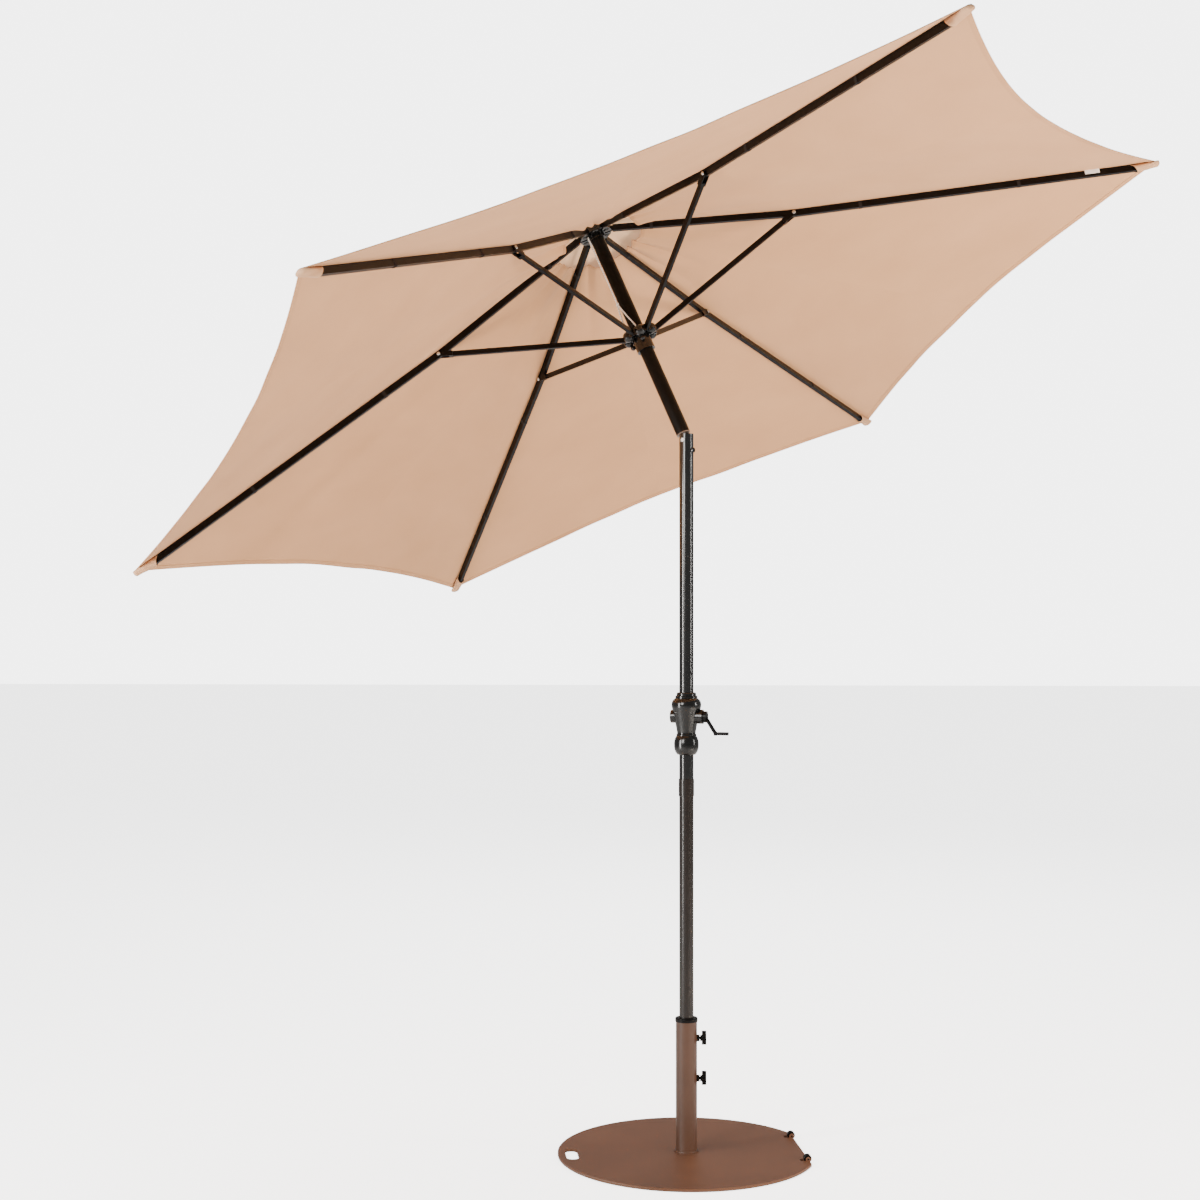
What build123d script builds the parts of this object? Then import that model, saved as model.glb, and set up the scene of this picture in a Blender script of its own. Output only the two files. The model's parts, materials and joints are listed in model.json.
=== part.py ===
from build123d import *
import os
from math import sin, cos, tan, atan2, degrees, radians

os.makedirs("parts", exist_ok=True)

# ---------------------------------------------------------------- driving dimensions, millimetres
BASE_R = 343.0          # round foot plate
BASE_T = 8.0
CHORD = 308.0           # flat side of the plate, measured from the pole axis
PLATE_TURN = 8.0        # azimuth of that flat side
SLOT_R = 306.0          # carrying slot, opposite the flat side
WHEEL_Y = 113.0
WHEEL_X = 304.0
WHEEL_Z = 12.5
WHEEL_R = 10.5
FOOT_RING_R = 32.5      # weld ring at the foot of the socket tube
TUBE_R = 28.5           # socket tube on the plate
TUBE_TOP = 354.0
KNOB_Z = (309.0, 202.0)
POLE_R = 19.0
POLE_BORE = 17.5
JOIN_Z = 976.0          # where the two lower pole lengths meet
CRANK_Z = 1165.0
CRANK_AZ = -15.0
PIVOT_Z = 1901.6        # tilt pivot
POLE_TOP = 1918.6       # the middle pole's rim, notched where the upper pole leans
BUTTON_Z = 1874.6
TILT = 26.68
TILT_AZ = 149.4
HUB = 651.0             # tilt pivot to rib pins, along the upper pole
PIN_R = 37.8            # rib pins and strut pins from the pole axis
ARM = 511.8             # rib pin to strut joint, and the same from there to the runner
RIB_OUT = 946.0         # strut joint to rib end
DROOP_IN = 18.54
DROOP_OUT = 15.21
RIB_TURN = 33.04        # azimuth of rib 1 in the tilted frame
FABRIC_LIFT = 11.6
FABRIC_T = 0.6
TIP_W = 1490.0          # fabric corner from the pole axis
SCALLOP = 104.0
VENT_IN = 120.0
CAP_W = 250.0
CORD_R = 27.5           # lift cord outside the upper pole, between two ribs
CORD_AZ = 63.04

# ---------------------------------------------------------------- frames
T = radians(TILT)
A = radians(TILT_AZ)
U = Vector(sin(T) * cos(A), sin(T) * sin(A), cos(T))
E1 = Vector(cos(T) * cos(A), cos(T) * sin(A), -sin(T))
E2 = Vector(-sin(A), cos(A), 0)
PIVOT = Vector(0, 0, PIVOT_Z)
LEAN = Vector(cos(A), sin(A), 0)
SIDEWAYS = Vector(-sin(radians(CRANK_AZ)), cos(radians(CRANK_AZ)), 0)
CRANK = Vector(cos(radians(CRANK_AZ)), sin(radians(CRANK_AZ)), 0)
CRANK_O = Vector(0, 0, CRANK_Z)
RIBS = [1, 2, 3, 4, 5, 6]
STRUT_X = PIN_R + ARM * cos(radians(DROOP_IN))
STRUT_Y = -ARM * sin(radians(DROOP_IN))
RUNNER_Y = 2 * STRUT_Y


def level(z):
    return Plane(origin=(0, 0, z), x_dir=(1, 0, 0), z_dir=(0, 0, 1))


def upper(z):
    return Plane(origin=PIVOT + U * z, x_dir=E1, z_dir=U)


def place(x, y, z):
    return PIVOT + E1 * x + E2 * y + U * z


def side(angle):
    """Plane through the upper pole: x outward at this azimuth, y up the pole from the rib pins."""
    a = radians(angle)
    out = E1 * cos(a) + E2 * sin(a)
    return Plane(origin=PIVOT + U * HUB, x_dir=out, z_dir=-(U.cross(out)))


def spot(radius, angle):
    return radius * cos(radians(angle)), radius * sin(radians(angle))


def rib_angle(k):
    return RIB_TURN + 60 * (k - 1)


def across(origin, direction, x_dir):
    return Plane(origin=origin, x_dir=x_dir, z_dir=direction)


def bar(start, end, height, gap_start=0.0, gap_end=0.0):
    """A straight bar between two points of the current sketch, short of them by the gaps."""
    run = Vector(end[0] - start[0], end[1] - start[1])
    unit = run.normalized()
    first = Vector(start[0], start[1]) + unit * gap_start
    last = Vector(end[0], end[1]) - unit * gap_end
    middle = (first + last) * 0.5
    turn = degrees(atan2(unit.Y, unit.X))
    with Locations((middle.X, middle.Y)):
        Rectangle((last - first).length, height, rotation=turn)


def ridge(w):
    """Height of the rib line above the rib pins at distance w from the pole."""
    if w <= STRUT_X:
        return -(w - PIN_R) * tan(radians(DROOP_IN))
    return STRUT_Y - (w - STRUT_X) * tan(radians(DROOP_OUT))


def cap_line(w):
    return 34.0 - (w - 30.0) * 0.327


def facet(angle, points, line, lift):
    """Plane and flat outline of a cloth facet: each point is (w, share of the half panel)."""
    a = radians(angle)
    corners = []
    for w, share in points:
        y = w * 0.4330127 * share
        x = w - abs(y) * tan(radians(30))
        z = HUB + lift + line(w)
        corners.append(place(x * cos(a) - y * sin(a), x * sin(a) + y * cos(a), z))
    along = corners[1] - corners[0]
    normal = along.cross(corners[-1] - corners[0])
    if normal.dot(U) < 0:
        normal = -normal
    plane = Plane(origin=corners[0], x_dir=along, z_dir=normal)
    flat = [plane.to_local_coords(c) for c in corners]
    return plane, [(p.X, p.Y) for p in flat]


def save(part, name):
    part.label = name
    export_step(part, "parts/" + name + ".step")


# ---------------------------------------------------------------- base
PLATE = Plane(origin=(0, 0, 0), x_dir=(cos(radians(PLATE_TURN)), sin(radians(PLATE_TURN)), 0), z_dir=(0, 0, 1))
WHEEL_ROW = [(WHEEL_X, WHEEL_Y), (WHEEL_X, -WHEEL_Y)]

with BuildPart() as base_plate:
    with BuildSketch(PLATE):
        Circle(BASE_R)
        with Locations((CHORD + 100, 0)):
            Rectangle(200, 2 * BASE_R, mode=Mode.SUBTRACT)
        with Locations((CHORD, WHEEL_Y), (CHORD, -WHEEL_Y)):
            Rectangle(46, 20, mode=Mode.SUBTRACT)
        with Locations((-SLOT_R, 0)):
            SlotOverall(100, 33, rotation=90, mode=Mode.SUBTRACT)
    extrude(amount=BASE_T)
    fillet(base_plate.edges().filter_by(GeomType.CIRCLE).filter_by(lambda e: e.radius > 300), 1.5)
    for length, radius in ((BASE_T, 3.5), (6, 6.5)):
        with BuildSketch(level(0)):
            with PolarLocations(17, 3):
                Circle(radius)
        extrude(amount=length, mode=Mode.SUBTRACT)

with BuildPart() as tube_bolts:
    for start, length, radius in ((1, 5, 6.5), (6, 6.5, 3.5)):
        with BuildSketch(level(start)):
            with PolarLocations(17, 3):
                Circle(radius)
        extrude(amount=length)

with BuildPart() as base_tube:
    with BuildSketch(level(BASE_T)):
        Circle(FOOT_RING_R)
    extrude(amount=5)
    fillet(base_tube.edges().group_by(Axis.Z)[-1], 2.5)
    with BuildSketch(level(BASE_T + 5)):
        Circle(TUBE_R)
        Circle(TUBE_R - 2.5, mode=Mode.SUBTRACT)
    extrude(amount=TUBE_TOP - BASE_T - 5)
    with BuildSketch(level(BASE_T)):
        with PolarLocations(17, 3):
            Circle(3.5)
    extrude(amount=5, mode=Mode.SUBTRACT)
    for z in KNOB_Z:
        with BuildSketch(across((0, 0, z), (1, 0, 0), (0, 1, 0))):
            Circle(4.3)
        extrude(amount=40, mode=Mode.SUBTRACT)

with BuildPart() as clamp_nuts:
    for z in KNOB_Z:
        with BuildSketch(across((27, 0, z), (1, 0, 0), (0, 1, 0))):
            Circle(9)
            Circle(4.05, mode=Mode.SUBTRACT)
        extrude(amount=8)
    with BuildSketch(level(150)):
        Circle(TUBE_R)
    extrude(amount=200, mode=Mode.SUBTRACT)

with BuildPart() as base_collar:
    with BuildSketch(level(TUBE_TOP)):
        Circle(30.2)
        Circle(POLE_R + 0.06, mode=Mode.SUBTRACT)
    extrude(amount=10)
    fillet(base_collar.edges().group_by(Axis.Z)[-1].sort_by(SortBy.RADIUS)[-1], 3)
    with BuildSketch(level(TUBE_TOP - 34)):
        Circle(TUBE_R - 2.5)
        Circle(POLE_R + 0.06, mode=Mode.SUBTRACT)
    extrude(amount=34)

with BuildPart() as wheel_brackets:
    for x, y in WHEEL_ROW:
        for s in (-12, 12):
            hub_at = PLATE.from_local_coords(Vector(0, y + s, 0))
            with BuildSketch(Plane(origin=hub_at, x_dir=PLATE.x_dir, z_dir=-PLATE.y_dir)):
                with Locations((x, BASE_T + 3.5)):
                    Rectangle(13, 7)
                with Locations((x, WHEEL_Z)):
                    Circle(6)
                with Locations((x, BASE_T - 5)):
                    Rectangle(60, 10, mode=Mode.SUBTRACT)
                with Locations((x, WHEEL_Z)):
                    Circle(2.5, mode=Mode.SUBTRACT)
            extrude(amount=1.5, both=True)

with BuildPart() as wheel_axles:
    for x, y in WHEEL_ROW:
        hub_at = PLATE.from_local_coords(Vector(x, y, WHEEL_Z))
        with BuildSketch(Plane(origin=hub_at, x_dir=PLATE.x_dir, z_dir=PLATE.y_dir)):
            Circle(2.5)
        extrude(amount=15, both=True)

for number, (x, y) in enumerate(WHEEL_ROW, start=1):
    with BuildPart() as wheel:
        hub_at = PLATE.from_local_coords(Vector(x, y, WHEEL_Z))
        with BuildSketch(Plane(origin=hub_at, x_dir=PLATE.x_dir, z_dir=PLATE.y_dir)):
            Circle(WHEEL_R)
            Circle(2.56, mode=Mode.SUBTRACT)
        extrude(amount=8, both=True)
        fillet(wheel.edges().filter_by(GeomType.CIRCLE).filter_by(lambda e: e.radius > 10), 2)
    save(wheel.part, "wheel_" + str(number))

for number, z in enumerate(KNOB_Z, start=1):
    with BuildPart() as clamp_stud:
        with BuildSketch(across((POLE_R + 0.4, 0, z), (1, 0, 0), (0, 1, 0))):
            Circle(4)
        extrude(amount=26.6)
    save(clamp_stud.part, "clamp_stud_" + str(number))
    with BuildPart() as clamp_knob:
        with BuildSketch(across((36.5, 0, z), (1, 0, 0), (0, 1, 0))):
            Circle(8)
        extrude(amount=5)
        with BuildSketch(across((41, 0, z), (1, 0, 0), (0, 1, 0))):
            Circle(13)
            with PolarLocations(13, 5):
                Circle(6.5)
        extrude(amount=12)
        fillet(clamp_knob.faces().sort_by(Axis.X)[-1].edges(), 2)
        with BuildSketch(across((36.5, 0, z), (1, 0, 0), (0, 1, 0))):
            Circle(4.05)
        extrude(amount=10, mode=Mode.SUBTRACT)
    save(clamp_knob.part, "clamp_knob_" + str(number))

# ---------------------------------------------------------------- lower pole
with BuildPart() as pole_foot:
    with BuildSketch(level(13)):
        Circle(25.6)
    extrude(amount=6)
    with BuildSketch(level(19)):
        Circle(17.1)
    extrude(amount=36)

with BuildPart() as lower_pole_tube:
    with BuildSketch(level(19)):
        Circle(POLE_R)
        Circle(POLE_BORE, mode=Mode.SUBTRACT)
    extrude(amount=JOIN_Z - 19)

with BuildPart() as pole_sleeve:
    with BuildSketch(level(953)):
        Circle(20.6)
        Circle(POLE_R, mode=Mode.SUBTRACT)
    extrude(amount=46)
    fillet(pole_sleeve.edges().filter_by(GeomType.CIRCLE).filter_by(lambda e: e.radius > 20), 0.7)

with BuildPart() as middle_pole_tube:
    with BuildSketch(level(JOIN_Z)):
        Circle(POLE_R)
        Circle(POLE_BORE, mode=Mode.SUBTRACT)
    extrude(amount=POLE_TOP - JOIN_Z)
    with BuildSketch(across(CRANK_O, CRANK, SIDEWAYS)):
        Circle(6)
    extrude(amount=30, both=True, mode=Mode.SUBTRACT)
    with BuildSketch(across((0, 0, BUTTON_Z), -LEAN, (0, 0, 1))):
        Circle(7.1)
    extrude(amount=30, mode=Mode.SUBTRACT)
    with BuildSketch(across(PIVOT, E2, LEAN)):
        Circle(3)
    extrude(amount=30, both=True, mode=Mode.SUBTRACT)
    for lean in (0, 0.2, 0.4, 0.6, 0.8, 1):
        turned = U * cos(T * (1 - lean)) - E1 * sin(T * (1 - lean))
        with BuildSketch(across(PIVOT - turned * 2, turned, E2)):
            Rectangle(24.6, 22)
        extrude(amount=40, mode=Mode.SUBTRACT)
        with BuildSketch(across(PIVOT + turned * 17.8, turned, E2)):
            Circle(20.2)
        extrude(amount=40, mode=Mode.SUBTRACT)

# ---------------------------------------------------------------- crank housing, two shells
FOOT_RING = [(24, 1064), (POLE_R, 1063)]
BALL = [(24, 1064), (30.5, 1074), (33, 1090), (31, 1105), (26.5, 1114)]
NECK = [(26.5, 1114), (26.5, 1118), (25, 1119), (25, 1123)]
BELL = [(25, 1123), (28, 1140), (33, 1164), (37.5, 1184), (39.6, 1197), (37.5, 1206), (31, 1213)]
CROWN = [(31, 1213), (29.5, 1214), (29.5, 1220), (26, 1221.5), (26, 1227), (24, 1229), (POLE_R, 1229.7)]
INNER = [(POLE_R, 1069), (22, 1070), (27.5, 1078), (29.5, 1090), (27.5, 1102), (POLE_R + 0.001, 1111),
         (POLE_R + 0.001, 1125), (25, 1141), (30, 1165), (34, 1185), (35.5, 1197), (31, 1207), (POLE_R, 1209)]
SHELLS = {"crank_housing_near": 1, "crank_housing_far": -1}
SCREWS = [(27, 1176), (-27, 1176)]
for name, hand in SHELLS.items():
    with BuildPart() as shell:
        with BuildSketch(Plane.XZ):
            with BuildLine():
                Polyline((POLE_R, CROWN[-1][1]), (POLE_R, FOOT_RING[-1][1]), FOOT_RING[0])
                Spline(*BALL)
                Polyline(*NECK)
                Spline(*BELL)
                Polyline(*CROWN)
            make_face()
        revolve(axis=Axis.Z)
        with BuildSketch(across(CRANK_O, CRANK * hand, SIDEWAYS)):
            Circle(19 if hand > 0 else 17.5)
        extrude(amount=46 if hand > 0 else 38)
        with BuildSketch(Plane.XZ):
            Polygon(*INNER, align=None)
        revolve(axis=Axis.Z, mode=Mode.SUBTRACT)
        with BuildSketch(level(1050)):
            Circle(POLE_R)
        extrude(amount=200, mode=Mode.SUBTRACT)
        with BuildSketch(across(CRANK_O, CRANK * hand, SIDEWAYS)):
            Circle(14.5)
        extrude(amount=42 if hand > 0 else 34.5, mode=Mode.SUBTRACT)
        with BuildSketch(across(CRANK_O + CRANK * hand * 24, CRANK * hand, SIDEWAYS)):
            Circle(9)
        extrude(amount=20 if hand > 0 else 12)
        with BuildSketch(across(CRANK_O, CRANK * hand, SIDEWAYS)):
            Circle(5.06)
        extrude(amount=60, mode=Mode.SUBTRACT)
        for y, z in SCREWS:
            seat = Vector(0, 0, z) + SIDEWAYS * y
            with BuildSketch(across(seat, CRANK * hand, SIDEWAYS)):
                Circle(4)
            extrude(amount=24)
            with BuildSketch(across(seat, CRANK * hand, SIDEWAYS)):
                Circle(1.8)
            extrude(amount=20, mode=Mode.SUBTRACT)
            if hand < 0:
                with BuildSketch(across(seat - CRANK * 20, -CRANK, SIDEWAYS)):
                    Circle(3.2)
                extrude(amount=20, mode=Mode.SUBTRACT)
        with BuildSketch(across(CRANK_O, -CRANK * hand, SIDEWAYS)):
            Rectangle(200, 400)
        extrude(amount=100, mode=Mode.SUBTRACT)
    save(shell.part, name)

with BuildPart() as housing_screws:
    for y, z in SCREWS:
        seat = Vector(0, 0, z) + SIDEWAYS * y
        with BuildSketch(across(seat - CRANK * 20, CRANK, SIDEWAYS)):
            Circle(1.8)
        extrude(amount=38)
        with BuildSketch(across(seat - CRANK * 20, -CRANK, SIDEWAYS)):
            Circle(3.2)
        extrude(amount=2.5)

with BuildPart() as crank_end_cap:
    with BuildSketch(across(CRANK_O - CRANK * 38, -CRANK, SIDEWAYS)):
        Circle(17.5)
    extrude(amount=4)
    fillet(crank_end_cap.edges().sort_by(Axis(origin=CRANK_O, direction=CRANK))[0], 1.5)

# ---------------------------------------------------------------- crank
with BuildPart() as crank_shaft:
    with BuildSketch(across(CRANK_O - CRANK * 37, CRANK, SIDEWAYS)):
        Circle(5)
    extrude(amount=93)

with BuildPart() as cord_spool:
    for start, length, radius in ((-11, 22, 10), (-11, 1.5, 12.5), (9.5, 1.5, 12.5)):
        with BuildSketch(across(CRANK_O + CRANK * start, CRANK, SIDEWAYS)):
            Circle(radius)
            Circle(5, mode=Mode.SUBTRACT)
        extrude(amount=length)

GRIP_AT = CRANK_O + CRANK * 80 - Vector(0, 0, 44)
with BuildPart() as crank_arm:
    with BuildSketch(across(CRANK_O + CRANK * 46.5, CRANK, SIDEWAYS)):
        Circle(15)
    extrude(amount=10)
    with BuildSketch(across(CRANK_O + CRANK * 52, GRIP_AT - (CRANK_O + CRANK * 52), SIDEWAYS)):
        Ellipse(6, 5)
    extrude(amount=(GRIP_AT - (CRANK_O + CRANK * 52)).length + 2)
    with BuildSketch(across(GRIP_AT - CRANK * 4, CRANK, SIDEWAYS)):
        Circle(5.5)
    extrude(amount=8)
    with BuildSketch(across(GRIP_AT, CRANK, SIDEWAYS)):
        Circle(2)
    extrude(amount=36)
    with BuildSketch(across(CRANK_O + CRANK * 44, CRANK, SIDEWAYS)):
        Circle(5)
    extrude(amount=12.2, mode=Mode.SUBTRACT)

with BuildPart() as crank_grip:
    with BuildSketch(across(GRIP_AT + CRANK * 5.5, CRANK, SIDEWAYS)):
        Circle(4.5)
    extrude(amount=30)
    fillet(crank_grip.edges(), 1.2)
    with BuildSketch(across(GRIP_AT + CRANK * 5.5, CRANK, SIDEWAYS)):
        Circle(2.06)
    extrude(amount=30, mode=Mode.SUBTRACT)

# ---------------------------------------------------------------- tilt joint
with BuildPart() as tilt_knuckle_lower:
    with BuildSketch(level(PIVOT_Z - 66)):
        Circle(POLE_BORE)
    extrude(amount=52)
    with BuildSketch(across(PIVOT, E2, LEAN)):
        Circle(10.5)
    extrude(amount=5, both=True)
    with BuildSketch(level(PIVOT_Z - 16)):
        with Locations((0, 0)):
            Rectangle(21, 10, rotation=TILT_AZ)
    extrude(amount=16)
    with BuildSketch(across(PIVOT, E2, LEAN)):
        Circle(3)
    extrude(amount=20, both=True, mode=Mode.SUBTRACT)
    with BuildSketch(across(Vector(0, 0, BUTTON_Z) - LEAN * 4, -LEAN, (0, 0, 1))):
        Circle(9)
    extrude(amount=20, mode=Mode.SUBTRACT)
    with BuildSketch(Plane(origin=(0, 0, PIVOT_Z - 90), x_dir=LEAN, z_dir=(0, 0, 1))):
        with Locations((7, 0)):
            Circle(2.2)
    extrude(amount=120, mode=Mode.SUBTRACT)
    with BuildSketch(Plane(origin=(0, 0, PIVOT_Z - 6), x_dir=LEAN, z_dir=(0, 0, 1))):
        with Locations((10.5, 0)):
            Rectangle(11, 4.4)
    extrude(amount=30, mode=Mode.SUBTRACT)

with BuildPart() as tilt_knuckle_upper:
    with BuildSketch(upper(19)):
        Circle(POLE_R)
    extrude(amount=2)
    with BuildSketch(upper(21)):
        Circle(POLE_BORE)
    extrude(amount=45)
    for hand in (1, -1):
        with BuildSketch(across(PIVOT + E2 * 5.4 * hand, E2 * hand, U)):
            Circle(10)
            with Locations((10, 0)):
                Rectangle(20, 20)
        extrude(amount=6)
    with BuildSketch(across(PIVOT, E2, U)):
        Circle(3.06)
    extrude(amount=20, both=True, mode=Mode.SUBTRACT)
    with BuildSketch(upper(-10)):
        with Locations((7, 0)):
            Circle(2.2)
    extrude(amount=120, mode=Mode.SUBTRACT)

with BuildPart() as tilt_pin:
    with BuildSketch(across(PIVOT, E2, U)):
        Circle(3)
    extrude(amount=19, both=True)
    for hand in (1, -1):
        with BuildSketch(across(PIVOT + E2 * 19 * hand, E2 * hand, U)):
            Circle(5)
        extrude(amount=1.6)

BUTTON_O = Vector(0, 0, BUTTON_Z)
with BuildPart() as tilt_button:
    for start, length, radius in ((10, 14, 6.8), (12.2, 2, 8.4)):
        with BuildSketch(across(BUTTON_O - LEAN * start, -LEAN, (0, 0, 1))):
            Circle(radius)
        extrude(amount=length)
    fillet(tilt_button.edges().sort_by(Axis(origin=BUTTON_O, direction=LEAN))[0], 1.5)

with BuildPart() as button_spring:
    coil = Helix(pitch=1.3, height=4.2, radius=4, center=BUTTON_O - LEAN * 5, direction=-LEAN)
    with BuildSketch(Plane(origin=coil @ 0, z_dir=coil % 0)):
        Circle(0.35)
    sweep(path=coil)

# ---------------------------------------------------------------- upper pole, hub and runner
with BuildPart() as upper_pole_tube:
    with BuildSketch(upper(21)):
        Circle(POLE_R)
        Circle(POLE_BORE, mode=Mode.SUBTRACT)
    extrude(amount=HUB + 4 - 21)

with BuildPart() as hub:
    for start, length, radius in ((-22, 54, 24), (-10, 20, 46)):
        with BuildSketch(upper(HUB + start)):
            Circle(radius)
        extrude(amount=length)
    with BuildSketch(upper(HUB - 22)):
        Circle(POLE_R)
    extrude(amount=26, mode=Mode.SUBTRACT)
    with BuildSketch(upper(HUB + 20)):
        Circle(5)
    extrude(amount=12, mode=Mode.SUBTRACT)
    for k in RIBS:
        with BuildSketch(side(rib_angle(k))):
            with Locations((37, 0)):
                Rectangle(22, 30)
        extrude(amount=4, both=True, mode=Mode.SUBTRACT)
        with BuildSketch(side(rib_angle(k))):
            with Locations((PIN_R, 0)):
                Circle(2)
        extrude(amount=11, both=True, mode=Mode.SUBTRACT)
    with BuildSketch(upper(HUB - 30)):
        with Locations(spot(CORD_R, CORD_AZ), (7, 0)):
            Circle(2.2)
    extrude(amount=60, mode=Mode.SUBTRACT)

with BuildPart() as hub_pins:
    for k in RIBS:
        with BuildSketch(side(rib_angle(k))):
            with Locations((PIN_R, 0)):
                Circle(2)
        extrude(amount=11, both=True)

with BuildPart() as finial:
    with BuildSketch(upper(HUB + 22)):
        Circle(5)
    extrude(amount=14)
    with BuildSketch(upper(HUB + 35)):
        Circle(24)
    extrude(amount=5)
    with BuildSketch(upper(HUB + 40)):
        Circle(15)
    extrude(amount=16)
    fillet(finial.edges().sort_by(Axis(origin=PIVOT, direction=U))[-1], 7)

with BuildPart() as runner:
    for start, length, radius in ((-48, 66, 25), (-9, 18, 46)):
        with BuildSketch(upper(HUB + RUNNER_Y + start)):
            Circle(radius)
        extrude(amount=length)
    with BuildSketch(upper(HUB + RUNNER_Y - 60)):
        Circle(POLE_R + 0.5)
    extrude(amount=120, mode=Mode.SUBTRACT)
    for k in RIBS:
        with BuildSketch(side(rib_angle(k))):
            with Locations((38, RUNNER_Y)):
                Rectangle(21, 30)
        extrude(amount=4, both=True, mode=Mode.SUBTRACT)
        with BuildSketch(side(rib_angle(k))):
            with Locations((PIN_R, RUNNER_Y)):
                Circle(2)
        extrude(amount=11, both=True, mode=Mode.SUBTRACT)

with BuildPart() as runner_pins:
    for k in RIBS:
        with BuildSketch(side(rib_angle(k))):
            with Locations((PIN_R, RUNNER_Y)):
                Circle(2)
        extrude(amount=11, both=True)

# ---------------------------------------------------------------- ribs and struts
END_X = STRUT_X + RIB_OUT * cos(radians(DROOP_OUT))
END_Y = STRUT_Y - RIB_OUT * sin(radians(DROOP_OUT))
for k in RIBS:
    plane = side(rib_angle(k))
    with BuildPart() as rib:
        for height, half, trim, mode in ((18, 5.5, 0, Mode.ADD), (16, 4.5, 1.2, Mode.SUBTRACT)):
            with BuildSketch(plane):
                bar((PIN_R, 0), (STRUT_X, STRUT_Y), height, gap_start=14 + trim)
                bar((STRUT_X, STRUT_Y), (END_X, END_Y), height, gap_end=trim)
                with Locations((STRUT_X, STRUT_Y)):
                    Circle(height / 2)
            extrude(amount=half, both=True, mode=mode)
        with BuildSketch(plane):
            with Locations((PIN_R, 0)):
                Circle(7)
            bar((PIN_R, 0), (STRUT_X, STRUT_Y), 14, gap_end=ARM - 15)
        extrude(amount=3.5, both=True)
        with BuildSketch(plane):
            with Locations((PIN_R, 0)):
                Circle(2.05)
            with Locations((STRUT_X, STRUT_Y)):
                Circle(2.55)
        extrude(amount=20, both=True, mode=Mode.SUBTRACT)
    save(rib.part, "rib_" + str(k))
    with BuildPart() as strut:
        top = (STRUT_X, STRUT_Y)
        foot = (PIN_R, RUNNER_Y)
        with BuildSketch(plane):
            with Locations(top):
                Circle(8)
            bar(top, foot, 14, gap_end=ARM - 38)
        extrude(amount=8.5, both=True)
        with BuildSketch(plane):
            with Locations(top):
                Circle(10)
            bar(top, foot, 20, gap_end=ARM - 28)
        extrude(amount=6, both=True, mode=Mode.SUBTRACT)
        with BuildSketch(plane):
            bar(top, foot, 14, gap_start=36, gap_end=14)
        extrude(amount=4.5, both=True)
        with BuildSketch(plane):
            bar(top, foot, 12, gap_start=40, gap_end=16)
        extrude(amount=3.5, both=True, mode=Mode.SUBTRACT)
        with BuildSketch(plane):
            with Locations(foot):
                Circle(7)
            bar(top, foot, 14, gap_start=ARM - 15)
        extrude(amount=3.5, both=True)
        with BuildSketch(plane):
            with Locations(foot):
                Circle(2.05)
        extrude(amount=20, both=True, mode=Mode.SUBTRACT)
        with BuildSketch(plane):
            with Locations(top):
                Circle(2.5)
        extrude(amount=10, both=True)
        for hand in (8.5, -10):
            with BuildSketch(plane.offset(hand)):
                with Locations(top):
                    Circle(4.5)
            extrude(amount=1.5)
    save(strut.part, "strut_" + str(k))

# ---------------------------------------------------------------- cloth: six gores, each on its own rib, and the vent cap
STEPS = 6
for k in RIBS:
    with BuildPart() as gore:
        for hand in (1, -1):
            hem = []
            for i in range(STEPS + 1):
                q = i / STEPS
                hem.append((TIP_W - SCALLOP * (1 - (1 - q) ** 2), q * hand))
            inner = [(VENT_IN, 0), (STRUT_X, 0), (STRUT_X, hand), (VENT_IN + 24, hand)]
            outer = [(STRUT_X, 0)] + hem + [(STRUT_X, hand)]
            for outline in (inner, outer):
                plane, flat = facet(rib_angle(k), outline, ridge, FABRIC_LIFT)
                with BuildSketch(plane):
                    Polygon(*flat, align=None)
                extrude(amount=FABRIC_T, dir=U)
    save(gore.part, "gore_" + str(k))

with BuildPart() as vent_cap:
    for lift, mode in ((FABRIC_T, Mode.ADD), (0, Mode.SUBTRACT)):
        for w in (CAP_W, 30):
            with BuildSketch(upper(HUB + cap_line(w) + lift)):
                RegularPolygon(w, 6, rotation=RIB_TURN)
        loft(ruled=True, mode=mode)
    with BuildSketch(upper(HUB + 30)):
        Circle(5)
    extrude(amount=10, mode=Mode.SUBTRACT)

# ---------------------------------------------------------------- cord
SPOOL_SIDE = CRANK_O + SIDEWAYS * 11.6
with BuildPart() as lift_cord_lower:
    top = PIVOT + LEAN * 7 - Vector(0, 0, 7)
    bend = top - Vector(0, 0, 90)
    with BuildLine() as path:
        Polyline(SPOOL_SIDE, bend, top)
    with BuildSketch(Plane(origin=SPOOL_SIDE, z_dir=bend - SPOOL_SIDE)):
        Circle(1.5)
    sweep(path=path.wires()[0], transition=Transition.RIGHT)

with BuildPart() as lift_cord_inner:
    with BuildSketch(upper(0)):
        with Locations((7, 0)):
            Circle(1.5)
    extrude(amount=HUB + 14)

YOKE = HUB + RUNNER_Y + 105
with BuildPart() as lift_cord_upper:
    with BuildSketch(upper(YOKE)):
        with Locations(spot(CORD_R, CORD_AZ)):
            Circle(1.5)
    extrude(amount=HUB + 12 - YOKE)

with BuildPart() as cord_yoke:
    with BuildSketch(upper(YOKE - 12)):
        with Locations(spot(CORD_R, CORD_AZ)):
            Circle(3)
    extrude(amount=12)
    for turn in (60, -60):
        start = place(*spot(CORD_R, CORD_AZ), YOKE - 10)
        finish = place(*spot(31, CORD_AZ + turn), HUB + RUNNER_Y + 9.5)
        with BuildSketch(Plane(origin=start, z_dir=finish - start)):
            Circle(1.5)
        extrude(amount=(finish - start).length)

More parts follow.
